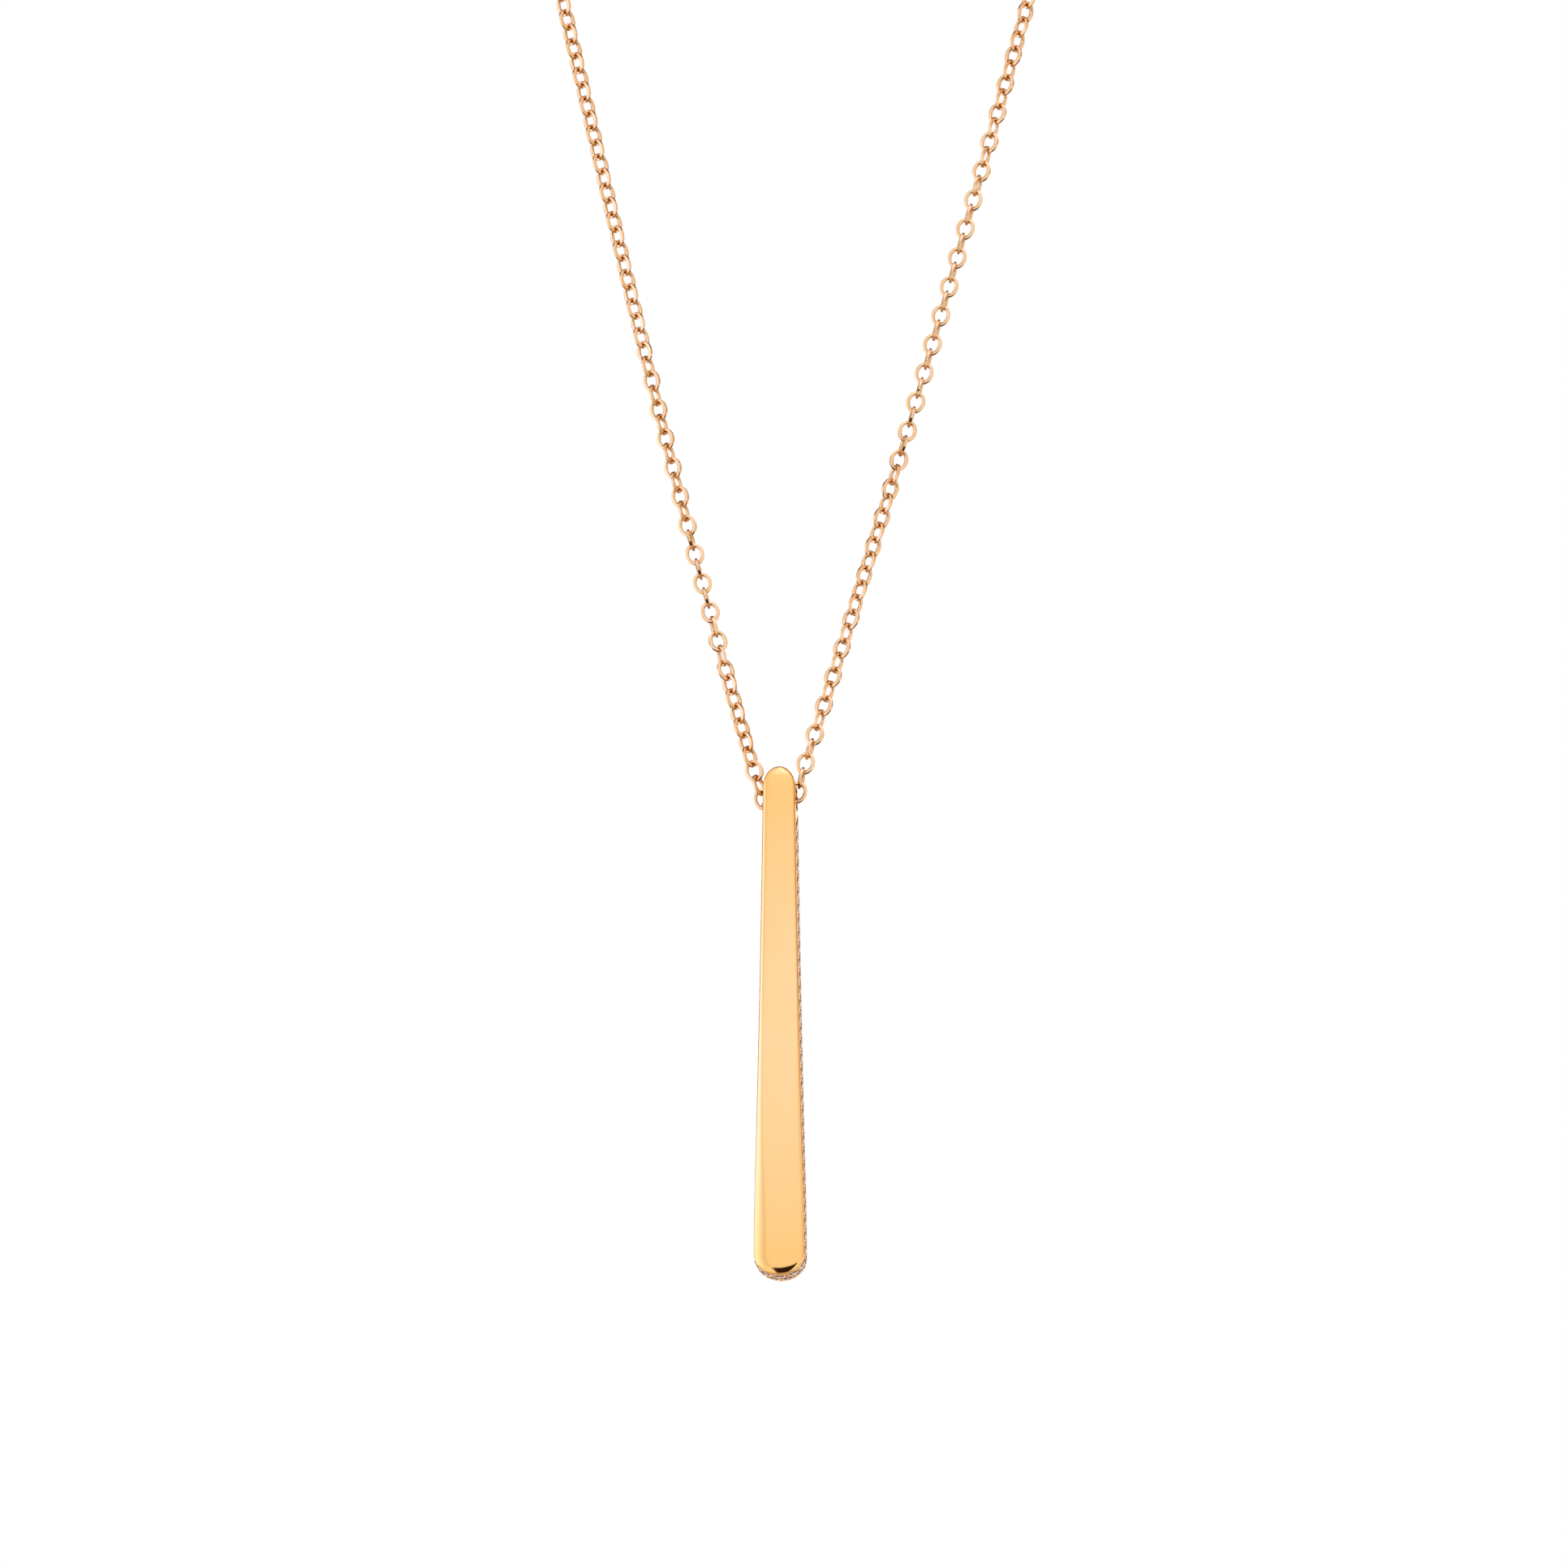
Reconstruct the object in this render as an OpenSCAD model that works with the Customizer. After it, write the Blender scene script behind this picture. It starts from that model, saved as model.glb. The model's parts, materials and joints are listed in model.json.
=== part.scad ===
// Bar pendant on a fine cable chain. Millimetres, +Z up, the polished front faces -Y.
// The origin is the middle of the clasp, where the closed loop rests on the nape.
// The chain comes round the neck, hangs down in two strands, and passes sideways through
// a hole near the top of the bar, which swings on it to the front and to the back.

/* [Bar] */
// Length of the bar, from the top of the arch to the bottom end
bar_len = 32; // [26:0.1:40]
// Depth of the bar, front to back
bar_d = 2.4; // [2.3:0.1:3.2]
// Half of the width at the narrow top, just below the arch
top_half_w = 1; // [0.85:0.05:1.1]
// Height of the arch at the top
arch_h = 1.3; // [0.9:0.05:1.6]
// Half of the width at the bottom, where the sides run into the rounded end
bottom_half_w = 1.55; // [1.3:0.01:2.2]
// Height of the rounded bottom end
end_h = 1.28; // [1:0.01:1.6]
// How far the rolled front edge falls back to the side wall
roll_d = 0.32; // [0.2:0.02:0.4]
// Width of the rolled edge, as a share of the half width beside it
roll_share = 0.36; // [0.2:0.02:0.5]
// Width of the rolled edge at the bottom end
end_roll_w = 0.85; // [0.4:0.05:1]
// How far the middle of the front stands proud of its edges
crown_h = 0.06; // [0.02:0.01:0.15]
// Radius of the eased edge round the back
back_ease = 0.15; // [0.08:0.01:0.2]

/* [Hole for the chain] */
// Distance from the top of the bar to the centre of the hole
hole_drop = 1.85; // [1.8:0.05:3]
// Clear space all round between the chain and the hole
hole_clearance = 0.35; // [0.15:0.05:0.4]

/* [Stones] */
// Diameter of each stone
stone_d = 0.74; // [0.6:0.01:0.74]
// Distance from stone to stone along a row
stone_pitch = 0.86; // [0.86:0.01:1.1]
// Distance between the two rows
row_gap = 0.8; // [0.76:0.01:0.84]
// Share of a stone's diameter that its flat table takes
table_share = 0.56; // [0.5:0.01:0.65]
// Space between a stone and the groove that seats it
seat_clearance = 0.02; // [0.01:0.01:0.04]
// Metal left between the chain hole and the grooves' ends
hole_web = 0.06; // [0.04:0.01:0.3]

/* [Chain] */
// Diameter of the plain tube that stands for the links
chain_d = 0.9; // [0.7:0.05:1]

/* [Clasp] */
// Radius of the clasp's ring, to the middle of its round tube
clasp_r = 2.05; // [1.8:0.05:3]
// Thickness of the clasp's round tube
clasp_tube = 0.9; // [0.7:0.05:1.1]
// Radius of the eye soldered to the clasp, to the middle of its wire
eye_r = 0.75; // [0.6:0.05:1]
// Thickness of the eye's wire
eye_wire = 0.44; // [0.3:0.02:0.5]
// Radius of the end ring that the clasp closes on, to the middle of its wire
end_ring_r = 1.2; // [1.15:0.05:1.8]
// Thickness of the end ring's wire
end_ring_wire = 0.5; // [0.4:0.02:0.6]
// Gap where ring hangs in ring, and between a ring and the chain's end
ring_gap = 0.1; // [0.05:0.01:0.2]

/* [Hidden] */

// The chain's route from the end ring round the left of the neck, down to the bar, through
// the hole and back up to the clasp's eye. The points are chosen by hand.
left_route = [
    [-12.5, -2.2, 0], [-23, -8.3, 0], [-31, -17.7, 0], [-35.4, -29.5, 0], [-36, -36, 0],
    [-36, -42.5, -1.7], [-36, -47.3, -6.5], [-35.9, -49, -13], [-31.3, -49, -39],
    [-27.3, -49, -59], [-23.2, -49, -79], [-20, -49, -93], [-16.75, -49, -107.1],
    [-12, -49, -128], [-9.55, -49, -138.4], [-6.9, -49, -148.8], [-5.1, -49, -155.5],
    [-4.7, -49, -157.2], [-4.6, -49, -158.25], [-4.38, -49, -158.78], [-3.85, -49, -159]
];
hang_point = [-3, -49, -159];
right_route = [
    [-2.15, -49, -159], [-1.62, -49, -158.78], [-1.4, -49, -158.25], [-1.35, -49, -157.2],
    [-1, -49, -155.6], [1, -49, -148.9], [4.05, -49, -138.7], [7, -49, -128.4],
    [12.65, -49, -107.8],
    [16.5, -49, -94], [20.4, -49, -79], [25.4, -49, -59], [30.3, -49, -39],
    [35.9, -49, -13], [36, -47.3, -6.5], [36, -42.5, -1.7], [36, -36, 0],
    [35.4, -29.5, 0], [31, -17.7, 0], [23, -8.3, 0], [12.5, -2.2, 0]
];
// Radius of the neck that the loop goes round, for the two points beside the clasp
neck_r = 36;

end_ring_x = -(clasp_r - clasp_tube / 2 - ring_gap / 2 - end_ring_wire / 2) - end_ring_r;
eye_x = clasp_r + clasp_tube / 2 + eye_r;
chain_start_x = end_ring_x - end_ring_r - end_ring_wire / 2 - ring_gap;
chain_end_x = eye_x + eye_r + eye_wire / 2 + ring_gap;
function nape_point(x) = [x, sqrt(neck_r * neck_r - x * x) - neck_r, 0];
chain_route = concat(
    [nape_point(chain_start_x)], left_route, [hang_point], right_route, [nape_point(chain_end_x)]
);
chain_sides = 8;
ring_spacing = 7;

// Outline of the bar, seen from the front with the hole's centre at the origin
hole_d = chain_d + 2 * hole_clearance;
arch_z = hole_drop - arch_h;
end_z = hole_drop - bar_len + end_h;
side_len = arch_z - end_z;
flare_start = 0.7;
flare_end = 0.84;
flare_gain = (1 - flare_start * (1 + flare_end) / 2) / flare_end;
arch_steps = 8;
side_steps = 7;
end_steps = 8;
half_steps = arch_steps + 3 + side_steps + end_steps;

// The stones' crowns, girdles and pavilions, as shares of the diameter of a round brilliant
stone_sides = 8;
crown_share = 0.14;
girdle_share = 0.04;
pavilion_share = 0.43;
stone_sink = 0.06;
round_fn = 48;
wire_fn = 24;
trace_steps = 40;

// Each row of stones sits in a groove: a short upright wall beside the girdles, over a V
// whose sides run parallel to the pavilions. The grooves run out below the chain hole.
rows_y = (roll_d - back_ease) / 2;
seat_r = stone_d / 2 + seat_clearance;
lip_depth = stone_sink + girdle_share * stone_d + seat_clearance;
groove_depth = lip_depth + seat_r * 2 * pavilion_share;
ridge_depth = lip_depth + (1 - row_gap / 2 / seat_r) * (groove_depth - lip_depth);
grooves_z = -hole_d / 2 - hole_web;
first_stone_z = grooves_z - seat_r;
run_out = 0.02;

// How fast the side flares a share t of the way down: more and more, then easing off to nothing
function flare_rate(t) =
    t < flare_end ? flare_start + 2 * flare_gain * t
    : (flare_start + 2 * flare_gain * flare_end) * (1 - t) / (1 - flare_end);

// Half width of the bar there, and the slope of the side, outwards for each millimetre down
function half_w(t) = top_half_w + (bottom_half_w - top_half_w)
    * (t < flare_end ? flare_start * t + flare_gain * t * t : 1 - flare_rate(t) * (1 - t) / 2);
function flare(t) = (bottom_half_w - top_half_w) * flare_rate(t) / side_len;

// Right half of the outline: u runs 0 to 1 round the arch, 1 to 2 down the side, 2 to 3 round the end
function edge(u) =
    u <= 1 ? [top_half_w * sin(90 * u), arch_z + arch_h * cos(90 * u)]
    : u <= 2 ? [half_w(u - 1), arch_z - side_len * (u - 1)]
    : [bottom_half_w * cos(90 * (u - 2)), end_z - end_h * sin(90 * (u - 2))];

// Outward direction of the outline at u, not yet of unit length
function raw_normal(u) =
    u <= 1 ? [arch_h * sin(90 * u), top_half_w * cos(90 * u)]
    : u <= 2 ? [1, flare(u - 1)]
    : [end_h * cos(90 * (u - 2)), -bottom_half_w * sin(90 * (u - 2))];
function normal(u) = raw_normal(u) / norm(raw_normal(u));

// Width of the rolled front edge at u, and the midline point that the crown rises to, which
// stops one roll's width above the rounded end
function roll_w(u) =
    u <= 1 ? roll_share * top_half_w
    : u <= 2 ? roll_share * half_w(u - 1)
    : roll_share * bottom_half_w
        + (end_roll_w - roll_share * bottom_half_w) * pow(sin(90 * (u - 2)), 2);
function spine(u) = [0, u <= 1 ? arch_z : max(edge(u)[1], end_z + end_roll_w)];

// A closed ring of points: the right half from top to bottom, then its mirror image back up
function closed(half, y) = concat(
    [for (p = half) [p[0], y, p[1]]],
    [for (i = [half_steps - 1:-1:1]) [-half[i][0], y, half[i][1]]]
);
function u_at_z(z) = 1 + (arch_z - z) / side_len;
grooves_u = [u_at_z(grooves_z + run_out), u_at_z(grooves_z), u_at_z(first_stone_z)];
us = concat(
    [for (i = [0:arch_steps]) i / arch_steps],
    grooves_u,
    [for (i = [1:side_steps - 1]) grooves_u[2] + (2 - grooves_u[2]) * i / side_steps],
    [for (i = [0:end_steps]) 2 + i / end_steps]
);

// How deep a groove may be at u: nothing beside the hole, the lip at its end, then a slope down
function cut_at(u) =
    u < grooves_u[1] ? 0
    : u < grooves_u[2] ? lip_depth
    : groove_depth;
function inset(width) = [for (u = us) edge(u) - normal(u) * width];
function grooved(depth) = [for (u = us) edge(u) - normal(u) * min(depth, cut_at(u))];
function rolled(angle) = [for (u = us) edge(u) - normal(u) * roll_w(u) * (1 - cos(angle))];
function towards_spine(share) =
    [for (u = us) (edge(u) - normal(u) * roll_w(u)) * (1 - share) + spine(u) * share];

roll_angles = [90, 66, 44, 22, 0];
crown_shares = [0.85, 0.45];
wall_profile = [
    for (row = [-1, 1])
        let (y = rows_y + row * row_gap / 2)
            each row < 0
                ? [[y - seat_r, 0], [y - seat_r, lip_depth], [y, groove_depth], [rows_y, ridge_depth]]
                : [[y, groove_depth], [y + seat_r, lip_depth], [y + seat_r, 0]]
];
face_y = -bar_d / 2 + crown_h;
bar_rings = concat(
    [for (s = crown_shares) closed(towards_spine(s), face_y - crown_h * (1 - pow(1 - s, 2)))],
    [for (a = roll_angles) closed(rolled(a), face_y + (roll_d - crown_h) * (1 - sin(a)))],
    [for (w = wall_profile) closed(grooved(w[1]), w[0])],
    [for (a = [0, 45, 90]) closed(inset(back_ease * (1 - cos(a))), bar_d / 2 - back_ease * (1 - sin(a)))]
);

// Skin between stacked rings of n points each, as triangles that face outwards
function skin(rings, n) = [
    for (r = [0:rings - 2], i = [0:n - 1])
        let (a = r * n + i, b = r * n + (i + 1) % n)
            each [[a, a + n, b + n], [a, b + n, b]]
];

// Triangles across a ring of the bar, from its right half to its left half
function across(first, facing_front) = [
    for (i = [0:half_steps - 1])
        let (
            right_a = first + i,
            right_b = first + i + 1,
            left_a = first + (2 * half_steps - i) % (2 * half_steps),
            left_b = first + 2 * half_steps - i - 1
        )
            each [
                if (i < half_steps - 1) facing_front ? [right_a, right_b, left_b] : [left_b, right_b, right_a],
                if (i > 0) facing_front ? [right_a, left_b, left_a] : [left_a, left_b, right_a]
            ]
];

// Length along the outline measured from the middle of the bottom end, against place and direction
trace_us = [
    for (i = [0:trace_steps]) 3 - i / trace_steps,
    for (i = [1:trace_steps]) 2 - i / trace_steps
];
trace_lengths = [
    for (i = 0, s = 0; i <= 2 * trace_steps; i = i + 1,
        s = i <= 2 * trace_steps ? s + norm(edge(trace_us[i]) - edge(trace_us[i - 1])) : s) s
];
u_at_length = [for (i = [0:2 * trace_steps]) [trace_lengths[i], trace_us[i]]];
length_at_z = [for (i = [2 * trace_steps:-1:0]) [-edge(trace_us[i])[1], trace_lengths[i]]];
row_len = lookup(-first_stone_z, length_at_z);
stones_each_way = floor(row_len / stone_pitch);

// Stone places along the band: signed length from the bottom middle, and the row's depth
stone_places = concat(
    [for (k = [-stones_each_way:stones_each_way]) [k * stone_pitch, rows_y - row_gap / 2]],
    [
        for (k = [-stones_each_way - 1:stones_each_way])
            let (s = (k + 0.5) * stone_pitch)
                if (abs(s) <= row_len) [s, rows_y + row_gap / 2]
    ]
);

// Moves a child to a stone's place, with its own +Z pointing out of the side wall
module at_stone(place) {
    u = lookup(abs(place[0]), u_at_length);
    side = place[0] < 0 ? -1 : 1;
    translate([side * edge(u)[0], place[1], edge(u)[1]])
        rotate([0, side * atan2(normal(u)[0], normal(u)[1]), 0])
            children();
}

// One round stone: table, eight crown facets, girdle and eight pavilion facets
module stone() {
    girdle_z = -stone_sink;
    levels = [
        [table_share * stone_d / 2, girdle_z + crown_share * stone_d],
        [stone_d / 2, girdle_z],
        [stone_d / 2, girdle_z - girdle_share * stone_d]
    ];
    tip = [0, 0, girdle_z - (girdle_share + pavilion_share) * stone_d];
    n = stone_sides;
    points = concat(
        [
            for (level = levels, i = [0:n - 1])
                let (a = -(i + 0.5) * 360 / n) [level[0] * cos(a), level[0] * sin(a), level[1]]
        ],
        [tip]
    );
    faces = concat(
        [[for (i = [0:n - 1]) i]],
        skin(len(levels), n),
        [for (i = [0:n - 1]) [2 * n + i, 3 * n, 2 * n + (i + 1) % n]]
    );
    polyhedron(points, faces);
}

// The gold bar: crowned and rolled front, plain back, grooved side walls for the stones
module bar() {
    color("goldenrod")
        translate(hang_point)
            difference() {
                polyhedron(
                    [for (ring = bar_rings) each ring],
                    concat(
                        across(0, true),
                        skin(len(bar_rings), 2 * half_steps),
                        across((len(bar_rings) - 1) * 2 * half_steps, false)
                    ),
                    convexity = 4
                );
                rotate([0, 90, 0])
                    cylinder(h = 4 * bottom_half_w, d = hole_d, center = true, $fn = round_fn);
            }
}

// Two staggered rows of small round stones down one side, round the bottom and up the other
module pave_stones() {
    color("white")
        translate(hang_point)
            for (place = stone_places) at_stone(place) stone();
}

// Smooth curve through the route, with tangents weighted by the lengths on either side
function heading(pts, i) =
    i == 0 ? (pts[1] - pts[0]) / norm(pts[1] - pts[0])
    : i == len(pts) - 1 ? (pts[i] - pts[i - 1]) / norm(pts[i] - pts[i - 1])
    : let (a = pts[i] - pts[i - 1], b = pts[i + 1] - pts[i], la = norm(a), lb = norm(b))
        (a * lb / la + b * la / lb) / (la + lb);
function on_curve(pts, i, t) =
    let (p = pts[i], q = pts[i + 1], len = norm(q - p), m = heading(pts, i) * len, n = heading(pts, i + 1) * len)
        p * (1 - 3 * t * t + 2 * t * t * t) + m * (t - 2 * t * t + t * t * t)
        + q * (3 * t * t - 2 * t * t * t) + n * (t * t * t - t * t);
function curve(pts) = concat(
    [
        for (i = [0:len(pts) - 2])
            let (steps = max(1, round(norm(pts[i + 1] - pts[i]) / ring_spacing)))
                for (k = [0:steps - 1]) on_curve(pts, i, k / steps)
    ],
    [pts[len(pts) - 1]]
);

// The chain as a plain tube along its route, in place of the links
module chain() {
    path = curve(chain_route);
    last = len(path) - 1;
    n = chain_sides;
    lean = [1, 1, 1];
    rings = [
        for (i = [0:last])
            let (
                ahead = path[min(i + 1, last)] - path[max(i - 1, 0)],
                along = ahead / norm(ahead),
                side = cross(along, lean) / norm(cross(along, lean)),
                up = cross(side, along)
            )
                [for (k = [0:n - 1]) path[i] + (side * cos(k * 360 / n) + up * sin(k * 360 / n)) * chain_d / 2]
    ];
    color("gold")
        polyhedron(
            [for (ring = rings) each ring],
            concat(
                [[for (k = [n - 1:-1:0]) k]],
                [for (face = skin(last + 1, n)) [face[2], face[1], face[0]]],
                [[for (k = [0:n - 1]) last * n + k]]
            ),
            convexity = 10
        );
}

// A round wire bent to a ring about the Z axis
module wire_ring(radius, wire) {
    rotate_extrude($fn = round_fn)
        translate([radius, 0]) circle(d = wire, $fn = wire_fn);
}

// The clasp, closed, as one plain piece: a round tube ring with its eye and thumb knob soldered on
module clasp() {
    color("gold")
        rotate([90, 0, 0])
            union() {
                wire_ring(clasp_r, clasp_tube);
                translate([eye_x, 0, 0]) wire_ring(eye_r, eye_wire);
                rotate([0, 0, 120])
                    translate([clasp_r, 0, 0])
                        rotate([0, 90, 0])
                            cylinder(h = clasp_tube, d = clasp_tube / 2, $fn = wire_fn);
            }
}

// The plain ring at the other end of the chain, hooked through the clasp
module end_ring() {
    color("gold")
        translate([end_ring_x, 0, 0]) wire_ring(end_ring_r, end_ring_wire);
}

bar();
pave_stones();
chain();
clasp();
end_ring();
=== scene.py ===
# %% [markdown]
# # A slim gold bar pendant on a cable chain
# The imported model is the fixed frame: it says where the bar, its stones, the chain and the
# clasp are. This lesson dresses it. It makes the polished bar with its drilled side walls, the
# small beads that hold the stones, about 470 interlocked links, and the gold and stone
# finishes. Every shape is a formula on a grid, worked out with numpy as whole arrays.

# %% Load the frame
import json
import math

import bmesh
import bpy
import numpy as np
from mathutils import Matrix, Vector


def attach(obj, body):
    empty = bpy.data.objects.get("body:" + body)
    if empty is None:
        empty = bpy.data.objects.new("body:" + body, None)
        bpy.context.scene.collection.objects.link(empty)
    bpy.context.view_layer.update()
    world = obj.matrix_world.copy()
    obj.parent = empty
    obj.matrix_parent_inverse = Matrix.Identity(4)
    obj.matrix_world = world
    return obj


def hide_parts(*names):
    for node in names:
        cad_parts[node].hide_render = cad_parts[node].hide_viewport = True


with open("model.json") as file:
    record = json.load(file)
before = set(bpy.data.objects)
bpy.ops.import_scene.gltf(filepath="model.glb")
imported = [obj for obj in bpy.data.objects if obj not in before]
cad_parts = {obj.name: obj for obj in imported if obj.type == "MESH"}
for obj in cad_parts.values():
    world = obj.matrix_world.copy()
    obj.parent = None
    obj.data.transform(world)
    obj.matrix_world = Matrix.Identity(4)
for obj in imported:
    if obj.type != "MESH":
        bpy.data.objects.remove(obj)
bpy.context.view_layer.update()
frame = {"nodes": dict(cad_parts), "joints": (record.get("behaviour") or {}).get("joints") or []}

MM = 0.001
HOLE = np.array(frame["joints"][0]["pos_m"]) / MM
print("the bar swings about", HOLE, "mm")

# %% [markdown]
# ## Camera and light
# The photograph is a studio picture on white, taken from far off with a long lens, so the
# strands keep their width from top to bottom. A little of the bar's right side and of its
# bottom end shows, which puts the camera slightly to the right and below. One pixel of the
# photograph is a twentieth of a millimetre, and the hole's centre gives the place.

# %% Camera
PHOTO_PX = 1932
PX = 0.05                      # millimetres in one pixel of the photograph
HOLE_PX = (961.5, 984.3)       # where the hole's centre lies in the photograph
VIEW_RIGHT, VIEW_UP = 5.0, -13.0
LENS, SENSOR = 600.0, 36.0


def look_from(azimuth, elevation):
    """The unit vector from the object to the camera: azimuth turns it to the right, elevation lifts it."""
    a, e = math.radians(azimuth), math.radians(elevation)
    return np.array([math.sin(a) * math.cos(e), -math.cos(a) * math.cos(e), math.sin(e)])


def make_camera():
    """Stands where the lens frames the photograph's width, and aims so that the hole falls on its pixel."""
    back = look_from(VIEW_RIGHT, VIEW_UP)
    right = np.array([-back[1], back[0], 0]) / math.hypot(back[0], back[1])
    up = np.cross(back, right)
    middle = PHOTO_PX / 2
    aim = HOLE + PX * ((middle - HOLE_PX[0]) * right + (HOLE_PX[1] - middle) * up)
    distance = PHOTO_PX * PX * LENS / SENSOR
    cam = bpy.data.objects.new("camera", bpy.data.cameras.new("camera"))
    cam.data.lens, cam.data.sensor_width = LENS, SENSOR
    cam.data.clip_start, cam.data.clip_end = 0.05, 30
    cam.location = Vector((aim + back * distance) * MM)
    cam.rotation_euler = Vector(-back).to_track_quat("-Z", "Y").to_euler()
    bpy.context.collection.objects.link(cam)
    bpy.context.scene.camera = cam
    print("camera", round(distance), "mm away")


make_camera()

# %% [markdown]
# Nodes are placed with one small helper, and groups are made with another. A group holds an
# effect that several finishes share, with named inputs, and the shader itself stays outside.

# %% Node helpers
def place(tree, kind, inputs=None, **settings):
    """Adds one node. inputs gives each socket a value, or another node's output to be linked."""
    node = tree.nodes.new(kind)
    for name, value in settings.items():
        setattr(node, name, value)
    for key, value in (inputs or {}).items():
        if isinstance(value, bpy.types.NodeSocket):
            tree.links.new(value, node.inputs[key])
        else:
            node.inputs[key].default_value = value
    return node


def math_node(tree, operation, *values):
    """One arithmetic step, and its result."""
    return place(tree, "ShaderNodeMath", dict(enumerate(values)), operation=operation).outputs[0]


def new_group(name, inputs, outputs):
    """An empty node group with the sockets named; returns it with its input and output nodes."""
    tree = bpy.data.node_groups.new(name, "ShaderNodeTree")
    for direction, sockets in (("INPUT", inputs), ("OUTPUT", outputs)):
        for socket_name, kind, value in sockets:
            socket = tree.interface.new_socket(socket_name, in_out=direction, socket_type=kind)
            if value is not None:
                socket.default_value = value
    return tree, place(tree, "NodeGroupInput"), place(tree, "NodeGroupOutput")


def use_group(tree, group, inputs):
    """Places a group in a material with its own values."""
    return place(tree, "ShaderNodeGroup", inputs, node_tree=group)


print("node helpers ready")

# %% [markdown]
# The jewel hangs in a white tent, as jewellers photograph polished gold: what gold shows is
# what it reflects. The world holds that tent. It is an even white with softboxes at the left
# and above, a dim panel and a warm reflector at the sides and a dark card below, each a
# soft-edged patch of directions. Between the front of the tent and the backdrop lie brown
# gaps, which draw the thin line along each polished edge. The camera itself sees plain white.

# %% Light tent
FLOAT, COLOUR, VECTOR = "NodeSocketFloat", "NodeSocketColor", "NodeSocketVector"
CARD_INPUTS = ("Middle azimuth", "Half width", "Middle elevation", "Half height", "Softness")


def card_group():
    """A soft-edged rectangle of directions: 1 inside and 0 outside, by the distance from its middle."""
    tree, entry, exit_ = new_group(
        "card", [(n, FLOAT, 0.0) for n in ("Azimuth", "Elevation", *CARD_INPUTS)], [("Mask", FLOAT, None)])
    masks = []
    for value, middle, half in (("Azimuth", "Middle azimuth", "Half width"),
                                ("Elevation", "Middle elevation", "Half height")):
        away = math_node(tree, "PINGPONG", math_node(
            tree, "SUBTRACT", entry.outputs[value], entry.outputs[middle]), 180.0)
        inner = math_node(tree, "SUBTRACT", entry.outputs[half], entry.outputs["Softness"])
        outer = math_node(tree, "ADD", entry.outputs[half], entry.outputs["Softness"])
        masks.append(place(tree, "ShaderNodeMapRange", {
            "Value": away, "From Min": inner, "From Max": outer, "To Min": 1.0, "To Max": 0.0},
            interpolation_type="SMOOTHSTEP").outputs["Result"])
    tree.links.new(math_node(tree, "MULTIPLY", *masks), exit_.inputs["Mask"])
    return tree


# Each card: middle azimuth, half width, middle elevation, half height, softness, colour.
# Degrees: azimuth 0 is straight in front and grows to the right; elevation grows upwards.
CARDS = {
    "backdrop": (180, 80, 7, 23, 6, (1.15, 1.15, 1.15)),
    "high backdrop": (180, 80, 58, 30, 6, (0.28, 0.15, 0.06)),
    "low backdrop": (180, 80, -54, 38, 6, (0.4, 0.23, 0.1)),
    "gap at the right": (122, 30, 13, 14, 6, (0.6, 0.38, 0.18)),
    "gap at the left": (-134, 24, 13, 14, 6, (0.52, 0.32, 0.15)),
    "left softbox": (-72, 36, -2, 22, 12, (1.5, 1.45, 1.9)),
    "top softbox": (6, 20, 76, 46, 22, (1.65, 1.63, 2.3)),
    "dim panel at the left": (-20, 4, 8, 22, 4, (0.87, 0.84, 0.8)),
    "warm reflector at the right": (72, 22, 13, 22, 10, (0.95, 0.82, 0.65)),
    "floor in shade": (0, 190, -78, 22, 10, (0.6, 0.48, 0.34)),
    "dark card below": (8, 22, -36, 21, 2.5, (0.03, 0.016, 0.009)),
    "its raised corner": (26, 4.5, -17, 4, 1.5, (0.03, 0.016, 0.009)),
}


def make_tent():
    """The world's shader: colour by direction, card by card, and plain white for the camera."""
    world = bpy.data.worlds.new("light_tent")
    bpy.context.scene.world = world
    world.use_nodes = True
    tree = world.node_tree
    tree.nodes.clear()
    direction = place(tree, "ShaderNodeTexCoord").outputs["Generated"]
    x, y, z = place(tree, "ShaderNodeSeparateXYZ", {0: direction}).outputs
    forward = math_node(tree, "MULTIPLY", y, -1.0)
    azimuth = math_node(tree, "DEGREES", math_node(tree, "ARCTAN2", x, forward))
    elevation = math_node(tree, "DEGREES", math_node(tree, "ARCSINE", z))
    card = card_group()
    colour = (1, 1, 1, 1)
    for values in CARDS.values():
        mask = use_group(tree, card, {
            "Azimuth": azimuth, "Elevation": elevation, **dict(zip(CARD_INPUTS, map(float, values)))})
        colour = place(tree, "ShaderNodeMix", {
            0: mask.outputs["Mask"], 6: colour, 7: (*values[-1], 1)}, data_type="RGBA").outputs[2]
    tent = place(tree, "ShaderNodeBackground", {"Color": colour, "Strength": 1.0})
    white = place(tree, "ShaderNodeBackground", {"Color": (1, 1, 1, 1), "Strength": 1.0})
    seen = place(tree, "ShaderNodeMixShader", {
        0: place(tree, "ShaderNodeLightPath").outputs["Is Camera Ray"],
        1: tent.outputs[0], 2: white.outputs[0]})
    place(tree, "ShaderNodeOutputWorld", {"Surface": seen.outputs[0]})
    print("light tent with", len(CARDS), "cards")


make_tent()
bpy.context.scene.view_settings.view_transform = "Standard"

# %% [markdown]
# ## The bar's outline
# The bar is drawn in its own millimetres, with the hole's centre at the origin and the front
# towards -Y. These are the sizes of the construction. The half outline runs round the arch,
# down the side and round the bottom end, and everything on the side wall is placed by its
# length along that outline, measured from the middle of the bottom end.

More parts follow.
